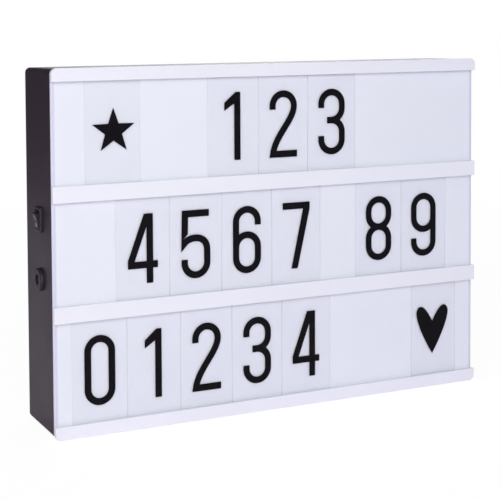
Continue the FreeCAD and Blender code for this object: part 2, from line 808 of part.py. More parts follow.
def strip_links():
    middle = size("strip_face") + size("strip_thickness") / 2
    end = -size("strip_half_length")
    links = []
    for row in range(len(ROWS) - 1):
        low = size("outer_rail_height") + size("opening_height") / 2 + row * size("row_pitch")
        high = low + size("row_pitch")
        for link in ("outer", "inner"):
            out, offset = size(link + "_link_reach"), size(link + "_link_inset")
            points = [Vector(end, middle, low + offset), Vector(end - out, middle, low + offset),
                      Vector(end - out, middle, high - offset), Vector(end, middle, high - offset)]
            links.append(lead(f"strip_link_{len(links) + 1}", points, size("thin_wire_radius")))
    return gather("strip_links", links)


node(reflector_tray(), "reflector_tray")
for row_index, strip_name in enumerate(("led_strip_lower", "led_strip_middle", "led_strip_upper")):
    node(led_strip(strip_name + "_plate", row_index), strip_name)
node(led_chips(), "led_chips")
node(strip_links(), "strip_link_wires")
node(gather("feed_wires", [
    rod(doc, "Cylinder", f"feed_wire_{i}", "y",
        ("-feed_wire_reach", "tray_face", f"{row_height(1)} {side} feed_wire_half"),
        "thin_wire_radius", "board_face - tray_face")
    for i, side in enumerate("-+", 1)]), "led_feed_wires")

# --- driver board ---------------------------------------------------------------------------

# name, distance from the board's left edge, height, width, height of the part, and how far it stands out
BOARD_PARTS = (
    ("inductor", 26, 14, 8, 8, 4),
    ("driver_chip", 15, 22, 5, 6, 1.6),
    ("diode", 27, 28, 5, 3.6, 2.2),
    ("resistor_one", 16, 33, 3.2, 1.6, 0.6),
    ("resistor_two", 16, 37, 3.2, 1.6, 0.6),
    ("resistor_three", 16, 41, 3.2, 1.6, 0.6),
)


def driver_board():
    plate = box(doc, "Box", "board_plate", ("-board_left", "-board_left + board_width"),
                ("board_face", "board_back"), ("board_low", "board_high"))
    holes = [rod(doc, "Cylinder", f"board_hole_{i}", "y", (x, "board_face - 1", z),
                 "board_screw_radius + screw_hole_gap", "board_thickness + 2")
             for i, (x, z) in enumerate(BOARD_POSTS, 1)]
    return cut("board", plate, holes)


def board_components():
    things = [box(doc, "Box", name, (f"-board_left + {x}", f"-board_left + {x} + {wide}"),
                  (f"board_face - {deep}", "board_face"), (f"board_low + {z}", f"board_low + {z} + {high}"))
              for name, x, z, wide, high, deep in BOARD_PARTS]
    for name, x, z in (("switch_connector", "-board_left", "switch_height"),
                       ("socket_connector", "-board_left", "socket_height"),
                       ("battery_connector", "-board_left + board_width - connector_depth",
                        "battery_plug_height")):
        things.append(box(doc, "Box", name, (x, f"{x} + connector_depth"),
                          ("board_face - connector_height", "board_face"), about(z, "connector_half")))
    things.append(rod(doc, "Cylinder", "capacitor", "y",
                      ("-board_left + 22", "board_face - capacitor_height", "board_low + 42"),
                      "capacitor_radius", "capacitor_height"))
    return gather("board_things", things)


node(driver_board(), "driver_board")
node(board_components(), "board_components")

# --- switch ---------------------------------------------------------------------------------


def switch_body():
    body = start_body("switch")
    box(body, "AdditiveBox", "switch_case", ("-port_flat", "-port_flat + switch_body_depth"),
        about("port_center", "switch_body_width / 2"), about("switch_height", "switch_body_length / 2"))
    bezel = box(body, "AdditiveBox", "switch_bezel", ("-port_flat - bezel_height", "-port_flat"),
                about("port_center", "switch_width / 2"), about("switch_height", "switch_length / 2"))
    corners = edges(bezel, lambda b: b.XLength > 0.5 and max(b.YLength, b.ZLength) < 0.01
                    and b.XMax < -size("port_flat") + 0.01)
    rounded = soften(body, "Fillet", "bezel_corners", bezel, corners, "bezel_corner")
    soften(body, "Fillet", "bezel_edge", rounded,
           flat_edges(rounded, "X", -size("port_flat") - size("bezel_height")), "bezel_round")
    box(body, "SubtractiveBox", "rocker_well",
        ("-port_flat - bezel_height", "-port_flat - bezel_height + rocker_well_depth"),
        about("port_center", "rocker_width / 2 + rocker_gap"), about("switch_height", "rocker_well_half"))
    reach_of_pin = "(rocker_width / 2 + rocker_gap + rocker_pin_reach + rocker_pin_gap)"
    rod(body, "SubtractiveCylinder", "pin_holes", "y",
        ("-port_flat + rocker_pivot", f"port_center - {reach_of_pin}", "switch_height"),
        "rocker_pin_radius + rocker_pin_gap", f"2 * {reach_of_pin}")
    return body


def switch_rocker():
    # drawn about its own pivot, then tilted
    body = start_body("rocker")
    half, heel = "rocker_half_length", "rocker_half_heel"
    right_side = [("-rocker_valley", "rocker_valley_half"), ("-rocker_tip", half),
                  ("rocker_shoulder", half), ("rocker_heel", heel)]
    other_side = [(out, "-" + up) for out, up in reversed(right_side)]
    shape = profile(body, "rocker_profile", "0", right_side + other_side)
    pad = make(body, "Pad", "rocker_block")
    pad.Profile = shape
    pad.SideType = "Symmetric"
    tie(pad, "Length", "rocker_width")
    reach_of_pin = "(rocker_width / 2 + rocker_gap + rocker_pin_reach)"
    rod(body, "AdditiveCylinder", "rocker_pins", "y", ("0", f"-{reach_of_pin}", "0"),
        "rocker_pin_radius", f"2 * {reach_of_pin}")
    body.Placement = Placement(Vector(), Rotation(Vector(0, -1, 0), 1))
    tie(body, "Placement.Rotation.Angle", "rocker_tilt")
    for letter, place in zip("xyz", ("-port_flat + rocker_pivot", "port_center", "switch_height")):
        tie(body, "Placement.Base." + letter, place)
    return body


def blades(name, start, wide, middle, spread, length):
    return gather(name, [
        box(doc, "Box", f"{name}_{i}", (start, f"{start} + {length}"), about("port_center", f"{wide} / 2"),
            about(f"{middle} {side} {spread}", "terminal_thickness / 2"))
        for i, side in enumerate("-+", 1)])


def side_leads(name, x, y, middle, spread):
    return gather(name, [
        lead(f"{name}_{i}", [Vector(x, y, z), Vector(x, size("wire_plane"), z),
                             Vector(-size("board_left"), size("wire_plane"), z)], size("wire_radius"))
        for i, z in enumerate((middle - spread, middle + spread), 1)])


node(switch_body(), "switch_body")
node(switch_rocker(), "switch_rocker")
node(blades("switch_blade", "-port_flat + switch_body_depth", "terminal_width", "switch_height",
            "terminal_spread", "terminal_length"), "switch_terminals")
node(side_leads("switch_wire", -size("switch_lead_reach"), size("port_center") + size("terminal_width") / 2,
                size("switch_height"), size("terminal_spread")), "switch_leads")

# --- power socket ---------------------------------------------------------------------------


def dc_socket_body():
    body = start_body("socket")
    rod(body, "AdditiveCylinder", "socket_barrel", "x", ("-port_flat", "port_center", "socket_height"),
        "barrel_radius", "barrel_length")
    flange = rod(body, "AdditiveCylinder", "socket_flange", "x",
                 ("-port_flat - flange_height", "port_center", "socket_height"),
                 "flange_radius", "flange_height")
    soften(body, "Fillet", "flange_edge", flange,
           flat_edges(flange, "X", -size("port_flat") - size("flange_height")), "flange_round")
    rod(body, "AdditiveCylinder", "socket_cap", "x",
        ("-port_flat + barrel_length", "port_center", "socket_height"),
        "socket_cap_radius", "socket_cap_length")
    rod(body, "SubtractiveCylinder", "socket_bore_hole", "x",
        ("-port_flat - flange_height", "port_center", "socket_height"), "socket_bore", "socket_bore_depth")
    return body


def dc_socket_nut():
    blank = make(doc, "Prism", "nut_blank")
    blank.Polygon = 6
    blank.Placement = Placement(Vector(), TURNS["x"])
    tie(blank, "Circumradius", "nut_across_flats / sqrt(3)")
    tie(blank, "Height", "nut_height")
    for letter, place in zip("xyz", ("-port_inside", "port_center", "socket_height")):
        tie(blank, "Placement.Base." + letter, place)
    return cut("nut", blank, [rod(doc, "Cylinder", "nut_bore", "x",
                                  ("-port_inside - 1", "port_center", "socket_height"),
                                  "barrel_radius + screw_thread_gap", "nut_height + 2")])


node(dc_socket_body(), "dc_socket_body")
node(rod(doc, "Cylinder", "center_pin", "x",
         ("-port_flat - flange_height + socket_pin_setback", "port_center", "socket_height"),
         "socket_pin", "socket_bore_depth - socket_pin_setback"), "dc_socket_pin")
node(dc_socket_nut(), "dc_socket_nut")
node(blades("socket_tab", "-port_flat + barrel_length + socket_cap_length", "tab_width", "socket_height",
            "tab_spread", "tab_length"), "dc_socket_terminals")
node(side_leads("socket_wire", -size("socket_lead_reach"), size("port_center") + size("tab_width") / 2,
                size("socket_height"), size("tab_spread")), "socket_leads")

# --- battery bay ----------------------------------------------------------------------------


def battery_cells():
    cells = []
    for i in range(CELLS):
        nub_up = i % 2 == 0
        low = "bay_high - contact_thickness - cell_reach" if nub_up else "bay_low + contact_thickness + nub_length"
        nub_low = "bay_high - contact_thickness - nub_length" if nub_up else "bay_low + contact_thickness"
        cells.append(join(f"cell_{i + 1}", [
            rod(doc, "Cylinder", f"cell_can_{i + 1}", "z", (cell_x(i), "cell_axis", low),
                "cell_radius", "cell_length"),
            rod(doc, "Cylinder", f"cell_nub_{i + 1}", "z", (cell_x(i), "cell_axis", nub_low),
                "nub_radius", "nub_length")]))
    return gather("cells", cells)


def battery_contacts():
    made = []
    for end, groups in (("low", ((0, 1), (2, 3), (4, 5))), ("high", ((0, 0), (1, 2), (3, 4), (5, 5)))):
        for first, last in groups:
            z = ("bay_low", "bay_low + contact_thickness") if end == "low" else (
                "bay_high - contact_thickness", "bay_high")
            plate = box(doc, "Box", f"contact_{end}_{first}",
                        (f"{cell_x(first)} - contact_half_width", f"{cell_x(last)} + contact_half_width"),
                        about("cell_axis", "contact_half_depth"), z)
            if first == last:
                tongue = box(doc, "Box", f"tongue_{first}", about(cell_x(first), "tongue_width / 2"),
                             about("wire_plane", "contact_thickness / 2"), ("bay_high", "tongue_top"))
                plate = join(f"tongue_contact_{first}", [plate, tongue])
            made.append(plate)
    return gather("contacts", made)


def leaf_spring(index):
    # a bent leaf between the contact plate and the flat end of the cell
    body = start_body(f"spring_{index + 1}")
    thick, half, tall = "spring_thickness", "spring_half_length", "spring_space"
    corners = [("-" + half, "0"), (half, "0"), (f"-{half} / 2", tall), ("-" + half, tall),
               ("-" + half, f"{tall} - {thick}"), (f"-{half} / 2 - 0.15", f"{tall} - {thick}"),
               (f"{half} - 1.2", thick), ("-" + half, thick)]
    leaf = make(body, "Pad", f"leaf_{index + 1}")
    leaf.Profile = profile(body, f"leaf_profile_{index + 1}", "0", corners)
    leaf.SideType = "Symmetric"
    tie(leaf, "Length", "spring_width")
    upright = index % 2 == 0
    if not upright:
        body.Placement = Placement(Vector(), Rotation(Vector(0, 1, 0), 180))
    seat = "bay_low + contact_thickness" if upright else "bay_high - contact_thickness"
    for letter, place in zip("xyz", (cell_x(index), "cell_axis", seat)):
        tie(body, "Placement.Base." + letter, place)
    return body


def battery_door():
    body = start_body("door")
    box(body, "AdditiveBox", "lid", about("0", "recess_half_width - lid_gap"),
        ("back_inside", "back_outside"), ("hinge_height", "lid_high"))
    rod(body, "AdditiveCylinder", "hinge_barrel", "x",
        ("lid_gap - recess_half_width", "hinge_back", "hinge_height"),
        "hinge_barrel_radius", "2 * (recess_half_width - lid_gap)")
    rod(body, "AdditiveCylinder", "hinge_pins", "x",
        ("lid_gap - hinge_pin_reach - recess_half_width", "hinge_back", "hinge_height"),
        "hinge_pin_radius", "2 * (recess_half_width - lid_gap + hinge_pin_reach)")
    box(body, "AdditiveBox", "latch_leaf", about("0", "latch_width / 2"),
        ("back_inside - latch_depth", "back_inside"),
        ("lid_high - latch_inset - latch_thickness", "lid_high - latch_inset"))
    for i in range(3):
        box(body, "SubtractiveBox", f"grip_groove_{i + 1}", about("0", "latch_width"),
            ("back_outside - grip_groove_depth", "back_outside"),
            about(f"lid_high - 5 - {i} * grip_groove_pitch", "grip_groove_width / 2"))
    return body


def battery_leads():
    y, top = size("wire_plane"), size("tongue_top")
    end = size("board_width") - size("board_left")
    outer = 2.5 * size("cell_pitch")
    middle, half = size("battery_plug_height"), size("battery_lead_half")
    return gather("battery_wires", [
        lead(f"battery_wire_{i}", [Vector(x, y, top), Vector(x, y, z), Vector(end, y, z)],
             size("wire_radius"))
        for i, (x, z) in enumerate(((-outer, middle - half), (outer, middle + half)), 1)])


node(battery_cells(), "battery_cells")
node(battery_contacts(), "battery_contacts")
node(gather("springs", [leaf_spring(i) for i in range(CELLS)]), "battery_springs")
node(battery_door(), "battery_door")
node(battery_leads(), "battery_leads")

# --- check and export -----------------------------------------------------------------------

doc.recompute()
broken = [f"{thing.Name} {thing.State}" for thing in doc.Objects if {"Invalid", "Error"} & set(thing.State)]
broken += [thing.Label for thing in nodes if thing.Shape.isNull() or not thing.Shape.isValid()]
if broken:
    raise RuntimeError("failed: " + ", ".join(broken))
os.makedirs("parts", exist_ok=True)
whole = FreeCAD.BoundBox()
for thing in nodes:
    whole.add(thing.Shape.BoundBox)
    thing.Shape.exportStep(f"parts/{thing.Label}.step")
    print(f"{thing.Label}: {len(thing.Shape.Solids)} solids, {thing.Shape.Volume / 1000:.2f} cm3")
print(f"{len(nodes)} nodes, {whole.XLength:.2f} x {whole.YLength:.2f} x {whole.ZLength:.2f} mm")
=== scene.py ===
import math

import bpy
from mathutils import Matrix, Vector


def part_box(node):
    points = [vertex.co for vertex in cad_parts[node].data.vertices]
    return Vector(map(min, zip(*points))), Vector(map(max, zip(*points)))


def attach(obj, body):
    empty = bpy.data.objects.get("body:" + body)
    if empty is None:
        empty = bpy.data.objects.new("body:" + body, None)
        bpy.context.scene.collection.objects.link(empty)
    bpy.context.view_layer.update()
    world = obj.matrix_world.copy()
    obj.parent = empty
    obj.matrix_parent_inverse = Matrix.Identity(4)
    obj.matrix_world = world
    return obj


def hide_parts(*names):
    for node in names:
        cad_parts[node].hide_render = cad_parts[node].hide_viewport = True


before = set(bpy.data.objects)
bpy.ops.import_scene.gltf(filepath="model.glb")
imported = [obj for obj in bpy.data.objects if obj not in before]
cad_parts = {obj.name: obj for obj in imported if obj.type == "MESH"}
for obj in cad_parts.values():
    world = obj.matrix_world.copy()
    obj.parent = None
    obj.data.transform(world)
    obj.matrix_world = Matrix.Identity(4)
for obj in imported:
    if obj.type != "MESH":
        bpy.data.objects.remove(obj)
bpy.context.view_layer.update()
print("frame loaded:", len(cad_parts), "nodes")
mm = 0.001  # sizes below are in mm where they say so, and the scene is in metres


def clearSelection():
    if bpy.context.object and bpy.context.object.mode != "OBJECT":
        bpy.ops.object.mode_set(mode="OBJECT")
    bpy.ops.object.select_all(action="DESELECT")


def selectOnly(piece):
    clearSelection()
    piece.select_set(True)
    bpy.context.view_layer.objects.active = piece


view = {
    "place": (-416.82, -806.10, 252.00),  # mm
    "turn": (-0.47041, 0.05502, -0.00496),  # yaw, pitch and roll in radians
    "focal": 1406.65, "centre": (249.89, 89.56), "frame": 500,  # in image points
    "sensor": 36, "nearest": 0.01,  # mm, m
}


def addCamera():
    yaw, pitch, roll = view["turn"]
    base = Matrix(((1, 0, 0), (0, 0, -1), (0, 1, 0)))
    yawTurn = Matrix.Rotation(-yaw, 3, "Z")
    pitchTurn = Matrix.Rotation(pitch, 3, "X")
    rollTurn = Matrix.Rotation(roll, 3, "Z")
    rows = rollTurn @ pitchTurn @ base @ yawTurn
    right, up, back = rows[0], -rows[1], -rows[2]
    turn = Matrix((right, up, back)).transposed().to_4x4()
    bpy.ops.object.camera_add(location=(0, 0, 0))
    camera = bpy.context.object
    camera.name = "camera"
    camera.matrix_world = Matrix.Translation(Vector(view["place"]) * mm) @ turn
    camera.data.sensor_width = view["sensor"]
    camera.data.lens = view["focal"] * view["sensor"] / view["frame"]
    camera.data.shift_x = (view["frame"] / 2 - view["centre"][0]) / view["frame"]
    camera.data.shift_y = (view["centre"][1] - view["frame"] / 2) / view["frame"]
    camera.data.clip_start = view["nearest"]
    bpy.context.scene.camera = camera


lampsAim = (0, 0, 0.11)  # the middle of the box
lamps = {
    "key": {"place": (-0.83, -1.29, 0.60), "size": 1.4, "power": 19.7, "tint": (1.0, 0.985, 0.945)},
    "cool": {"place": (1.0, -1.1, 0.5), "size": 1.2, "power": 1.3, "tint": (0.14, 0.45, 1.0)},
    "back": {"place": (0.9, 1.6, 0.95), "size": 1.2, "power": 9, "tint": (1.0, 1.0, 1.0)},
}
white = (1, 1, 1, 1)
room = {
    "fillTint": (0.965, 0.975, 1.05), "fillLevel": 0.285,
    "sheenTint": (1.0, 0.82, 1.06), "sheenLevel": 0.12,
    "floorSize": 2.0, "floorHeight": -0.00005, "floorPaint": (0.99, 0.90, 1.0),
    "floorShade": 0.10, "floorGlow": 1.045, "shadePaint": (0.9, 0.9, 0.9),
}


def addLamps():
    for name, values in lamps.items():
        clearSelection()
        bpy.ops.object.light_add(type="AREA", location=values["place"])
        lamp = bpy.context.object
        lamp.name = name + "Lamp"
        lamp.data.shape = "DISK"
        lamp.data.size = values["size"]
        lamp.data.energy = values["power"]
        lamp.data.color = values["tint"]
        aim = Vector(lampsAim) - Vector(values["place"])
        lamp.rotation_euler = aim.to_track_quat("-Z", "Y").to_euler()


def addRoom():
    world = bpy.data.worlds.new("room")
    bpy.context.scene.world = world
    world.use_nodes = True
    nodes, links = world.node_tree.nodes, world.node_tree.links
    nodes.clear()
    output = nodes.new("ShaderNodeOutputWorld")
    seen = nodes.new("ShaderNodeBackground")
    seen.inputs["Color"].default_value = white
    rays = nodes.new("ShaderNodeLightPath")
    fill = nodes.new("ShaderNodeBackground")
    fill.inputs["Color"].default_value = (*room["fillTint"], 1)
    fill.inputs["Strength"].default_value = room["fillLevel"]
    sheen = nodes.new("ShaderNodeBackground")  # what the glossy plastics mirror
    sheen.inputs["Color"].default_value = (*room["sheenTint"], 1)
    sheen.inputs["Strength"].default_value = room["sheenLevel"]
    mirrored = nodes.new("ShaderNodeMixShader")
    links.new(rays.outputs["Is Glossy Ray"], mirrored.inputs["Fac"])
    links.new(fill.outputs["Background"], mirrored.inputs[1])
    links.new(sheen.outputs["Background"], mirrored.inputs[2])
    through = nodes.new("ShaderNodeMath")
    through.operation = "MAXIMUM"
    links.new(rays.outputs["Is Camera Ray"], through.inputs[0])
    links.new(rays.outputs["Is Transmission Ray"], through.inputs[1])
    pick = nodes.new("ShaderNodeMixShader")
    links.new(through.outputs["Value"], pick.inputs["Fac"])
    links.new(mirrored.outputs["Shader"], pick.inputs[1])
    links.new(seen.outputs["Background"], pick.inputs[2])
    links.new(pick.outputs["Shader"], output.inputs["Surface"])

    clearSelection()
    bpy.ops.mesh.primitive_plane_add(size=room["floorSize"], location=(0, 0, room["floorHeight"]))
    floor = bpy.context.object
    floor.name = "floor"
    paint = bpy.data.materials.new("floorPaint")
    paint.use_nodes = True
    nodes, links = paint.node_tree.nodes, paint.node_tree.links
    nodes.clear()
    output = nodes.new("ShaderNodeOutputMaterial")
    matte = nodes.new("ShaderNodeBsdfDiffuse")
    matte.inputs["Color"].default_value = (*room["floorPaint"], 1)
    glow = nodes.new("ShaderNodeEmission")
    glow.inputs["Color"].default_value = white
    glow.inputs["Strength"].default_value = room["floorGlow"]
    faint = nodes.new("ShaderNodeMixShader")  # the floor's own shade, kept faint
    faint.inputs["Fac"].default_value = room["floorShade"]
    neutral = nodes.new("ShaderNodeBsdfDiffuse")
    neutral.inputs["Color"].default_value = (*room["shadePaint"], 1)
    links.new(glow.outputs["Emission"], faint.inputs[1])
    links.new(neutral.outputs["BSDF"], faint.inputs[2])
    rays = nodes.new("ShaderNodeLightPath")
    pick = nodes.new("ShaderNodeMixShader")
    links.new(rays.outputs["Is Camera Ray"], pick.inputs["Fac"])
    links.new(matte.outputs["BSDF"], pick.inputs[1])
    links.new(faint.outputs["Shader"], pick.inputs[2])
    links.new(pick.outputs["Shader"], output.inputs["Surface"])
    floor.data.materials.append(paint)


bpy.context.scene.view_settings.view_transform = "Standard"
addCamera()
addRoom()
addLamps()
print("camera, room and lamps placed")


def startMaterial(name):
    material = bpy.data.materials.new(name)
    material.use_nodes = True
    nodes = material.node_tree.nodes
    return material, nodes, material.node_tree.links, nodes["Principled BSDF"]


def placeOf(nodes):
    return nodes.new("ShaderNodeTexCoord").outputs["Object"]


def noise(nodes, links, place, scale, detail=2.0):
    texture = nodes.new("ShaderNodeTexNoise")
    texture.inputs["Scale"].default_value = scale
    texture.inputs["Detail"].default_value = detail
    links.new(place, texture.inputs["Vector"])
    return texture.outputs["Fac"]


def splitPlace(nodes, links, place):
    split = nodes.new("ShaderNodeSeparateXYZ")
    links.new(place, split.inputs["Vector"])
    return split.outputs


def sizeOf(nodes, links, value):
    number = nodes.new("ShaderNodeMath")
    number.operation = "ABSOLUTE"
    links.new(value, number.inputs[0])
    return number.outputs["Value"]


noiseSpan = (0.3, 0.7)  # nearly all values of a noise lie between these


def spread(nodes, links, value, low, high, fromLow=noiseSpan[0], fromHigh=noiseSpan[1]):
    scaled = nodes.new("ShaderNodeMapRange")
    scaled.inputs["From Min"].default_value = fromLow
    scaled.inputs["From Max"].default_value = fromHigh
    scaled.inputs["To Min"].default_value = low
    scaled.inputs["To Max"].default_value = high
    links.new(value, scaled.inputs["Value"])
    return scaled.outputs["Result"]


def blendColours(nodes, links, value, first, second):
    ramp = nodes.new("ShaderNodeValToRGB")
    ramp.color_ramp.elements[0].position = noiseSpan[0]
    ramp.color_ramp.elements[0].color = (*first, 1)
    ramp.color_ramp.elements[1].position = noiseSpan[1]
    ramp.color_ramp.elements[1].color = (*second, 1)
    links.new(value, ramp.inputs["Fac"])
    return ramp.outputs["Color"]


def bump(nodes, links, height, shader, distance, strength=1.0):
    node = nodes.new("ShaderNodeBump")
    node.inputs["Distance"].default_value = distance
    node.inputs["Strength"].default_value = strength
    links.new(height, node.inputs["Height"])
    links.new(node.outputs["Normal"], shader.inputs["Normal"])


# moulded and rolled surfaces: two near colours, the roughness between two limits, and a fine grain
finishes = {
    "opalPlastic": {"colours": ((0.845, 0.885, 0.985), (0.86, 0.90, 1.0)), "patch": 18,
                    "roughness": (0.42, 0.5), "grain": 2600, "depth": 0.000004},
    "whitePlastic": {"colours": ((0.84, 0.853, 0.918), (0.855, 0.868, 0.933)), "patch": 22,
                     "roughness": (0.36, 0.44), "grain": 2200, "depth": 0.000004},
    "blackPlastic": {"colours": ((0.0186, 0.0103, 0.0186), (0.0226, 0.0132, 0.0226)), "patch": 30,
                     "roughness": (0.36, 0.43), "grain": 3400, "depth": 0.00002, "gloss": 0.33},
    "footRubber": {"colours": ((0.020, 0.020, 0.021), (0.032, 0.031, 0.031)), "patch": 300,
                   "roughness": (0.75, 0.9), "grain": 1800, "depth": 0.00003},
    "screwSteel": {"colours": ((0.42, 0.42, 0.44), (0.56, 0.56, 0.57)), "patch": 900,
                   "roughness": (0.28, 0.42), "grain": 5200, "depth": 0.000004, "metal": 1.0},
    "stripWhite": {"colours": ((0.80, 0.80, 0.77), (0.86, 0.86, 0.84)), "patch": 140,
                   "roughness": (0.3, 0.42), "grain": 2400, "depth": 0.000004},
    "wireSheath": {"colours": ((0.035, 0.035, 0.038), (0.055, 0.054, 0.056)), "patch": 260,
                   "roughness": (0.38, 0.5), "grain": 2600, "depth": 0.000006},
    "componentBlack": {"colours": ((0.018, 0.018, 0.019), (0.040, 0.039, 0.038)), "patch": 420,
                       "roughness": (0.5, 0.66), "grain": 4200, "depth": 0.00001},
    "switchBlack": {"colours": ((0.020, 0.0155, 0.023), (0.024, 0.0185, 0.028)), "patch": 160,
                    "roughness": (0.36, 0.46), "grain": 4200, "depth": 0.000005, "gloss": 0.36},
    "contactBrass": {"colours": ((0.62, 0.47, 0.22), (0.74, 0.60, 0.33)), "patch": 700,
                     "roughness": (0.24, 0.38), "grain": 5200, "depth": 0.000003, "metal": 1.0},
    "brightMetal": {"colours": ((0.66, 0.66, 0.67), (0.76, 0.76, 0.77)), "patch": 900,
                    "roughness": (0.12, 0.2), "grain": 6000, "depth": 0.000002, "metal": 1.0},
    "nutMetal": {"colours": ((0.46, 0.46, 0.46), (0.58, 0.58, 0.58)), "patch": 600,
                 "roughness": (0.26, 0.4), "grain": 4800, "depth": 0.000005, "metal": 1.0},
    "contactSteel": {"colours": ((0.55, 0.55, 0.54), (0.68, 0.68, 0.67)), "patch": 500,
                     "roughness": (0.22, 0.36), "grain": 5000, "depth": 0.000004, "metal": 1.0},
    "printInk": {"colours": ((0.0050, 0.0044, 0.0060), (0.0072, 0.0062, 0.0085)), "patch": 120,
                 "roughness": (0.40, 0.50), "grain": 3600, "depth": 0.000003, "gloss": 0.08},
    "markPaint": {"colours": ((0.30, 0.28, 0.34), (0.36, 0.34, 0.40)), "patch": 900,
                  "roughness": (0.5, 0.6), "grain": 5200, "depth": 0.000004},
}


def plainFinish(name):
    values = finishes[name]
    material, nodes, links, shader = startMaterial(name)
    place = placeOf(nodes)
    patches = noise(nodes, links, place, values["patch"], 3)
    links.new(blendColours(nodes, links, patches, *values["colours"]), shader.inputs["Base Color"])
    fine = noise(nodes, links, place, values["grain"])
    links.new(spread(nodes, links, patches, *values["roughness"]), shader.inputs["Roughness"])
    bump(nodes, links, fine, shader, values["depth"])
    shader.inputs["Metallic"].default_value = values.get("metal", 0.0)
    shader.inputs["Specular IOR Level"].default_value = values.get("gloss", 0.5)
    material.diffuse_color = (*values["colours"][0], 1)
    return material


# the colour of the painted edge band and where it starts: part dark wall behind the sheet, part painted shade on the
# bevels
opal = {"scatter": 0.35, "reach": 0.004,  # m
        "backedAndShadedEnds": (0.68, 0.695, 0.87), "backedAndShadedFrom": (0.1470, 0.1482)}  # m from the middle


def opalFinish():
    material = plainFinish("opalPlastic")
    shader = material.node_tree.nodes["Principled BSDF"]
    shader.inputs["Subsurface Weight"].default_value = opal["scatter"]
    shader.inputs["Subsurface Radius"].default_value = (1, 1, 1)
    shader.inputs["Subsurface Scale"].default_value = opal["reach"]
    # a deeper band painted at the two panel edges: partly the black wall behind showing through the sheet, partly
    # painted shade on the bevelled edge that turns away from the light
    nodes, links = material.node_tree.nodes, material.node_tree.links
    sideways = sizeOf(nodes, links, splitPlace(nodes, links, placeOf(nodes))["X"])
    amount = spread(nodes, links, sideways, 0.0, 1.0, *opal["backedAndShadedFrom"])
    mix = nodes.new("ShaderNodeMix")
    mix.data_type = "RGBA"
    front = shader.inputs["Base Color"].links[0].from_socket
    links.new(amount, mix.inputs["Factor"])
    links.new(front, mix.inputs["A"])
    mix.inputs["B"].default_value = (*opal["backedAndShadedEnds"], 1)
    links.new(mix.outputs["Result"], shader.inputs["Base Color"])
    return material


clear = {"tint": (0.70, 0.70, 0.77), "paler": 1.04, "haze": 0.045, "edge": 0.28,
         "roughness": (0.12, 0.20), "ior": 1.49, "smears": 45, "turned": (0.3, 0.9), "viewAlpha": 0.3}


def clearFinish():
    # a thin clear sheet: nearly all light goes through, and the cut edges catch more
    material, nodes, links, shader = startMaterial("clearTile")
    place = placeOf(nodes)
    smears = noise(nodes, links, place, clear["smears"], 3)
    tint = clear["tint"]
    links.new(blendColours(nodes, links, smears, tint, tuple(c * clear["paler"] for c in tint)),
              shader.inputs["Base Color"])
    links.new(spread(nodes, links, smears, *clear["roughness"]), shader.inputs["Roughness"])
    shader.inputs["IOR"].default_value = clear["ior"]
    facing = nodes.new("ShaderNodeTexCoord").outputs["Normal"]
    front = sizeOf(nodes, links, splitPlace(nodes, links, facing)["Y"])
    links.new(spread(nodes, links, front, clear["edge"], clear["haze"], *clear["turned"]), shader.inputs["Alpha"])
    material.diffuse_color = (*tint, clear["viewAlpha"])
    return material


resin = {"colours": ((0.80, 0.66, 0.22), (0.88, 0.76, 0.34)), "roughness": (0.16, 0.3), "grain": 1400,
         "coat": 0.5, "depth": 0.00001}


def lampFinish():
    # the grainy yellow phosphor under its clear resin
    material, nodes, links, shader = startMaterial("lampResin")
    grains = noise(nodes, links, placeOf(nodes), resin["grain"], 3)
    links.new(blendColours(nodes, links, grains, *resin["colours"]), shader.inputs["Base Color"])
    links.new(spread(nodes, links, grains, *resin["roughness"]), shader.inputs["Roughness"])
    shader.inputs["Coat Weight"].default_value = resin["coat"]
    bump(nodes, links, grains, shader, resin["depth"])
    return material


board = {"mask": ((0.012, 0.12, 0.045), (0.016, 0.15, 0.06)), "run": (0.04, 0.26, 0.10), "net": 90,
         "runWidth": 0.035, "grain": 500, "roughness": (0.24, 0.36), "depth": 0.00002}


def boardFinish():
    # solder mask over copper runs: the runs follow a square net
    material, nodes, links, shader = startMaterial("boardGreen")
    place = placeOf(nodes)
    net = nodes.new("ShaderNodeTexBrick")
    net.inputs["Scale"].default_value = board["net"]
    net.inputs["Mortar Size"].default_value = board["runWidth"]
    net.inputs["Color1"].default_value = (*board["mask"][0], 1)
    net.inputs["Color2"].default_value = (*board["mask"][1], 1)
    net.inputs["Mortar"].default_value = (*board["run"], 1)
    turn = nodes.new("ShaderNodeMapping")
    turn.inputs["Rotation"].default_value = (math.pi / 2, 0, 0)
    links.new(place, turn.inputs["Vector"])
    links.new(turn.outputs["Vector"], net.inputs["Vector"])
    links.new(net.outputs["Color"], shader.inputs["Base Color"])
    fine = noise(nodes, links, place, board["grain"])
    links.new(spread(nodes, links, fine, *board["roughness"]), shader.inputs["Roughness"])
    bump(nodes, links, net.outputs["Fac"], shader, board["depth"])
    return material


cellSleeve = {"dark": (0.018, 0.019, 0.022), "band": (0.50, 0.28, 0.10), "bandFrom": 0.072,  # m up
              "scuffs": 240, "roughness": (0.22, 0.4), "metal": 0.6, "depth": 0.00001}


def cellFinish():
    # a plain dark sleeve with a copper band near one end
    material, nodes, links, shader = startMaterial("cellCan")
    place = placeOf(nodes)
    above = nodes.new("ShaderNodeMath")
    above.operation = "GREATER_THAN"
    above.inputs[1].default_value = cellSleeve["bandFrom"]
    links.new(splitPlace(nodes, links, place)["Z"], above.inputs[0])
    mix = nodes.new("ShaderNodeMix")
    mix.data_type = "RGBA"
    mix.inputs["A"].default_value = (*cellSleeve["dark"], 1)
    mix.inputs["B"].default_value = (*cellSleeve["band"], 1)
    links.new(above.outputs["Value"], mix.inputs["Factor"])
    links.new(mix.outputs["Result"], shader.inputs["Base Color"])
    scuffs = noise(nodes, links, place, cellSleeve["scuffs"], 4)
    links.new(spread(nodes, links, scuffs, *cellSleeve["roughness"]), shader.inputs["Roughness"])
    shader.inputs["Metallic"].default_value = cellSleeve["metal"]
    bump(nodes, links, scuffs, shader, cellSleeve["depth"])
    return material


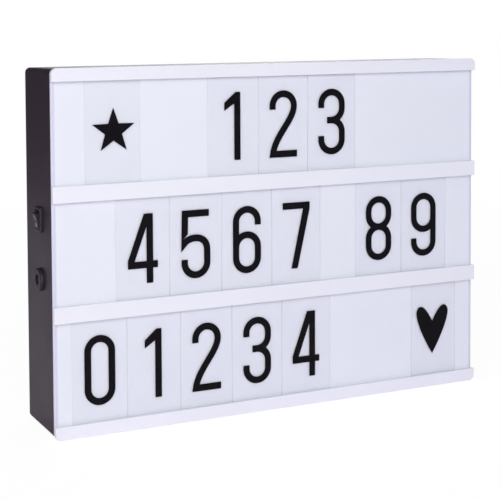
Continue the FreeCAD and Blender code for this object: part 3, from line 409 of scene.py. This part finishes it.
materials = {name: plainFinish(name) for name in finishes if name != "opalPlastic"}
materials["opalPlastic"] = opalFinish()
materials["clearTile"] = clearFinish()
materials["lampResin"] = lampFinish()
materials["boardGreen"] = boardFinish()
materials["cellCan"] = cellFinish()

finishOfSlot = {
    "opal_plastic": "opalPlastic", "white_plastic": "whitePlastic", "black_plastic": "blackPlastic",
    "clear_tile": "clearTile", "foot_rubber": "footRubber", "screw_steel": "screwSteel",
    "strip_white": "stripWhite", "lamp_resin": "lampResin", "wire_sheath": "wireSheath",
    "board_green": "boardGreen", "component_black": "componentBlack", "switch_black": "switchBlack",
    "contact_brass": "contactBrass", "bright_metal": "brightMetal", "nut_metal": "nutMetal",
    "cell_can": "cellCan", "contact_steel": "contactSteel",
}
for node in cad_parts.values():
    for place in node.material_slots:
        place.material = materials[finishOfSlot[place.material.name.split(".")[0]]]
print("finishes given to all nodes")

# the flat that the two ports sit on, brought out to the tapered wall so that no step shows around it, in mm
portFlat = {"plane": -149.0, "front": (-11.5, -149.4), "back": (8.5, -149.05),  # y, and the wall's x there
            "rows": (80.0, 140.4), "near": 0.01, "merge": 0.005, "smooth": 30}


def dressHousing():
    clearSelection()
    piece = bpy.data.objects.new("housing_shell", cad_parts["rear_housing"].data.copy())
    bpy.context.scene.collection.objects.link(piece)
    selectOnly(piece)
    (front, outerFront), (back, outerBack) = portFlat["front"], portFlat["back"]
    low, high = portFlat["rows"]
    near = portFlat["near"]
    for corner in piece.data.vertices:
        x, y, z = corner.co / mm
        if abs(x - portFlat["plane"]) < near and front - near < y < back + near and low - near < z < high + near:
            corner.co.x = (outerFront + (outerBack - outerFront) * (y - front) / (back - front)) * mm
    bpy.ops.object.mode_set(mode="EDIT")
    bpy.ops.mesh.select_all(action="SELECT")
    bpy.ops.mesh.remove_doubles(threshold=portFlat["merge"] * mm)
    bpy.ops.mesh.dissolve_degenerate(threshold=portFlat["merge"] / 5 * mm)
    bpy.ops.object.mode_set(mode="OBJECT")
    bpy.ops.mesh.customdata_custom_splitnormals_clear()
    bpy.ops.object.shade_smooth_by_angle(angle=math.radians(portFlat["smooth"]))
    evenShade = piece.modifiers.new("evenShade", "WEIGHTED_NORMAL")
    evenShade.keep_sharp = True
    bpy.ops.object.modifier_apply(modifier=evenShade.name)
    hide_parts("rear_housing")
    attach(piece, "light_box")
    print("housing wall evened:", len(piece.data.polygons), "faces")


dressHousing()

# sizes of the figures in mm: each stands on its foot line and is centred sideways
figure = {"height": 42.4, "width": 19.6, "stroke": 4.3, "ink": 0.045, "sunk": 0.005, "front": -25.3,
          "low": {"top": 160.2, "middle": 88.5, "bottom": 17.7}}
tall, half, wide = figure["height"], figure["width"] / 2, figure["stroke"]
drawn = {"steps": 20, "hook": 2.4, "waist": 22.2, "sameOnLine": 1e-4, "sameOnOutline": 1e-3, "sharpest": 0.2}


def arc(cx, cz, radius, start, end, steps=drawn["steps"]):
    return [(cx + radius * math.cos(math.radians(start + (end - start) * i / steps)),
             cz + radius * math.sin(math.radians(start + (end - start) * i / steps))) for i in range(steps + 1)]


def curveTo(start, pullStart, pullEnd, end, steps=drawn["steps"]):
    points = []
    for i in range(steps + 1):
        t = i / steps
        a, b, c, d = (1 - t) ** 3, 3 * t * (1 - t) ** 2, 3 * t * t * (1 - t), t ** 3
        points.append(tuple(a * s + b * p + c * q + d * e for s, p, q, e in zip(start, pullStart, pullEnd, end)))
    return points


def band(line, width):
    # both sides of a middle line, with its corners mitred
    points = [Vector(p) for i, p in enumerate(line)
              if i == 0 or (Vector(p) - Vector(line[i - 1])).length > drawn["sameOnLine"]]
    left, right = [], []
    for i, p in enumerate(points):
        before = (p - points[i - 1]).normalized() if i else (points[1] - p).normalized()
        after = (points[i + 1] - p).normalized() if i + 1 < len(points) else before
        normal = Vector((-(before + after).y, (before + after).x)).normalized()
        reach = width / 2 / max(drawn["sharpest"], normal.dot(Vector((-before.y, before.x))))
        left.append(tuple(p + normal * reach))
        right.append(tuple(p - normal * reach))
    return left + right[::-1]


def ovalHoop(low, high, radius):
    return arc(0, low + radius, radius, 180, 360) + arc(0, high - radius, radius, 0, 180)


def twoBowls():
    # the waist, the middles of the two round bowls that meet there, and the turn at which they cross
    waist = drawn["waist"]
    return waist, waist - wide / 2 + half, waist + wide / 2 - half, math.degrees(math.acos((half - wide / 2) / half))


def drawZero():
    return [ovalHoop(0, tall, half), ovalHoop(wide, tall - wide, half - wide)]


oneShape = {"left": 0.6, "shoulder": 0.9, "flag": -6.2, "flagHigh": 6.6, "flagLow": 11.6, "under": 7.2}


def drawOne():
    left, flag = oneShape["left"], oneShape["flag"]
    return [[(left, 0), (left + wide, 0), (left + wide, tall), (left + oneShape["shoulder"], tall),
             (flag, tall - oneShape["flagHigh"]), (flag, tall - oneShape["flagLow"]),
             (left, tall - oneShape["under"])]]


twoShape = {"hook": 2.2, "drop": 9, "pull": (1.6, 9.5), "knee": 0.2}


def drawTwo():
    ring, (inward, rise) = half - wide / 2, twoShape["pull"]
    line = [(-ring, tall - half - twoShape["hook"])] + arc(0, tall - half, ring, 180, 0)
    line += curveTo((ring, tall - half), (ring, tall - half - twoShape["drop"]), (-ring + inward, wide + rise),
                    (-ring + twoShape["knee"], wide / 2))
    line += [(half, wide / 2)]
    return [band(line, wide)]


threeShape = {"tongue": -3.4}


def drawThree():
    inner, hook, tongue = half - wide, drawn["hook"], threeShape["tongue"]
    middle, upper, lower, notch = twoBowls()
    outline = [(-half, tall - half - hook)] + arc(0, tall - half, half, 180, 0)
    outline += arc(0, upper, half, 0, -90 + notch) + arc(0, lower, half, 90 - notch, 0)
    outline += arc(0, half, half, 0, -180) + [(-half, half + hook), (-inner, half + hook)]
    outline += arc(0, half, inner, -180, 0) + arc(0, lower, inner, 0, 90)
    outline += [(tongue, middle - wide / 2), (tongue, middle + wide / 2)]
    outline += arc(0, upper, inner, -90, 0) + arc(0, tall - half, inner, 0, 180) + [(-inner, tall - half - hook)]
    return [outline]


fourShape = {"bar": 9.2, "stem": 2.4, "lean": 1.6, "heel": 0.6}


def drawFour():
    bar, stem = fourShape["bar"], fourShape["stem"]
    top = (stem - fourShape["lean"], tall)
    foot = (-half, bar + wide + fourShape["heel"])
    along = (Vector(top) - Vector(foot)).normalized()
    across = Vector((along.y, -along.x)) * wide
    slope = along.y / along.x
    inner = Vector(foot) + across
    holeTop = (stem, inner.y + (stem - inner.x) * slope)
    holeLeft = (inner.x + (bar + wide - inner.y) / slope, bar + wide)
    outline = [(stem, 0), (stem + wide, 0), (stem + wide, bar), (half, bar), (half, bar + wide),
               (stem + wide, bar + wide), (stem + wide, tall), top, foot, (-half, bar), (stem, bar)]
    return [outline, [holeTop, holeLeft, (stem, bar + wide)]]


fiveShape = {"cap": 0.8, "neck": 0.4, "join": 22.2, "pull": (3.2, 26.2), "crest": 27.2, "shoulder": 17.2,
             "hook": 2.2}


def drawFive():
    ring, join, (inward, high) = half - wide / 2, fiveShape["join"], fiveShape["pull"]
    line = [(half - fiveShape["cap"], tall - wide / 2), (-ring + fiveShape["neck"], tall - wide / 2), (-ring, join)]
    line += curveTo((-ring, join), (-ring + inward, high), (ring, fiveShape["crest"]),
                    (ring, fiveShape["shoulder"]))[1:]
    line += arc(0, half, ring, 0, -180) + [(-ring, half + fiveShape["hook"])]
    return [band(line, wide)]


sixShape = {"bowl": 26.4}


def drawSix():
    inner, bowl, hook = half - wide, sixShape["bowl"], drawn["hook"]
    meet = math.degrees(math.acos(-inner / half))
    outline = [(half, tall - half - hook)] + arc(0, tall - half, half, 0, 180) + arc(0, half, half, 180, 360)
    outline += arc(0, bowl - half, half, 0, meet) + arc(0, tall - half, inner, 180, 0)
    outline += [(inner, tall - half - hook)]
    return [outline, ovalHoop(wide, bowl - wide, inner)]


sevenShape = {"slant": 1.06, "foot": -3.6, "corner": 0.3}


def drawSeven():
    slant, foot = wide * sevenShape["slant"], sevenShape["foot"]
    return [[(-half, tall), (half, tall), (half, tall - wide), (foot + slant, 0), (foot, 0),
             (half - slant - sevenShape["corner"], tall - wide), (-half, tall - wide)]]


def drawEight():
    inner = half - wide
    middle, upper, lower, notch = twoBowls()
    outline = arc(0, tall - half, half, 180, 0) + arc(0, upper, half, 0, -90 + notch)
    outline += arc(0, lower, half, 90 - notch, 0) + arc(0, half, half, 0, -180)
    outline += arc(0, lower, half, 180, 90 + notch) + arc(0, upper, half, -90 - notch, -180)
    return [outline, ovalHoop(middle + wide / 2, tall - wide, inner), ovalHoop(wide, middle - wide / 2, inner)]


def drawNine():
    return [[(-x, tall - z) for x, z in outline] for outline in drawSix()]


starShape = {"points": 5, "outer": 14.2, "inner": 5.7, "turn": 90.3, "middle": (0.6, 21.4)}


def drawStar():
    # as wide as it is tall
    across, up = starShape["middle"]
    outline = []
    for i in range(2 * starShape["points"]):
        reach = starShape["inner" if i % 2 else "outer"]
        angle = math.radians(starShape["turn"] + 180 / starShape["points"] * i)
        outline.append((reach * math.cos(angle) + across, reach * math.sin(angle) + up))
    return [outline]


heartShape = {"flank": ((0, 0), (7.5, 11.4), (13.9, 24.9), (12.4, 29.6)),
              "lobe": ((12.4, 29.6), (12.1, 30.7), (8.5, 38.4), (0, 22.1)), "middle": (-0.85, 3.95)}


def drawHeart():
    # a tall heart with two round lobes
    across, up = heartShape["middle"]
    side = curveTo(*heartShape["flank"]) + curveTo(*heartShape["lobe"])[1:]
    left = [(-x, z) for x, z in side[::-1]][1:-1]
    return [[(x + across, z + up) for x, z in side + left]]


drawings = {"0": drawZero, "1": drawOne, "2": drawTwo, "3": drawThree, "4": drawFour, "5": drawFive,
            "6": drawSix, "7": drawSeven, "8": drawEight, "9": drawNine, "star": drawStar, "heart": drawHeart}
rows = {"top": ("star", "1", "2", "3"), "middle": ("4", "5", "6", "7", "8", "9"),
        "bottom": ("0", "1", "2", "3", "4", "heart")}


def flatShape(name, outlines, thickness):
    curve = bpy.data.curves.new(name, "CURVE")
    curve.dimensions = "2D"
    curve.fill_mode = "BOTH"
    curve.extrude = thickness / 2 * mm
    for outline in outlines:
        points = [p for i, p in enumerate(outline)
                  if (Vector(p) - Vector(outline[i - 1])).length > drawn["sameOnOutline"]]
        spline = curve.splines.new("POLY")
        spline.points.add(len(points) - 1)
        for point, (x, z) in zip(spline.points, points):
            point.co = (x * mm, z * mm, 0, 1)
        spline.use_cyclic_u = True
    piece = bpy.data.objects.new(name, curve)
    bpy.context.scene.collection.objects.link(piece)
    selectOnly(piece)
    bpy.ops.object.convert(target="MESH")
    return bpy.context.object


def printFigure(name, outlines, middle, low, body):
    piece = flatShape(name, outlines, figure["ink"])
    piece.rotation_euler = (math.pi / 2, 0, 0)
    piece.location = (middle, (figure["front"] + figure["sunk"] - figure["ink"] / 2) * mm, low * mm)
    bpy.ops.object.transform_apply(location=True, rotation=True, scale=True)
    piece.data.materials.clear()
    piece.data.materials.append(materials["printInk"])
    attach(piece, body)


for row, signs in rows.items():
    for number, sign in enumerate(signs, 1):
        tileName = f"tile_{row}_{number}"
        lowCorner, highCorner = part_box(tileName)
        printFigure(f"figure_{row}_{number}", drawings[sign](), (lowCorner.x + highCorner.x) / 2,
                    figure["low"][row], tileName)
print("figures printed on the tiles")

# the switch's two marks, in mm: a bar on the half that stands out and a ring on the half that is pushed in
rocker = {"pivot": (-148.1, -0.5, 128.4), "tilt": 12, "tip": (-4.3, 4.6), "valley": (-3.9, 0.6)}
marks = {"paint": 0.06, "sunk": 0.01, "shift": -0.4, "bar": {"side": 1, "at": 0.28, "wide": 0.45, "tall": 2.2},
         "ring": {"side": -1, "at": 0.44, "outer": 1.15, "inner": 0.75, "sweep": (0, 350, 35)}}


def rockerPoint(x, z):
    turn = math.radians(rocker["tilt"])
    px, py, pz = rocker["pivot"]
    return Vector((px + x * math.cos(turn) - z * math.sin(turn), py, pz + x * math.sin(turn) + z * math.cos(turn)))


def paintMark(name, outlines, side, at):
    tip = rockerPoint(rocker["tip"][0], side * rocker["tip"][1])
    valley = rockerPoint(rocker["valley"][0], side * rocker["valley"][1])
    right, up = Vector((0, -1, 0)), (tip - valley).normalized() * side
    outward = right.cross(up)
    middle = valley.lerp(tip, at) + outward * (marks["paint"] / 2 - marks["sunk"]) - right * marks["shift"]
    piece = flatShape(name, outlines, marks["paint"])
    piece.matrix_world = Matrix.Translation(middle * mm) @ Matrix((right, up, outward)).transposed().to_4x4()
    bpy.ops.object.transform_apply(location=True, rotation=True, scale=True)
    piece.data.materials.clear()
    piece.data.materials.append(materials["markPaint"])
    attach(piece, "rocker")


bar, ring = marks["bar"], marks["ring"]
x, z = bar["wide"] / 2, bar["tall"] / 2
paintMark("rocker_bar", [[(-x, -z), (x, -z), (x, z), (-x, z)]], bar["side"], bar["at"])
paintMark("rocker_ring", [arc(0, 0, ring[edge], *ring["sweep"]) for edge in ("outer", "inner")],
          ring["side"], ring["at"])
print("marks painted on the rocker")
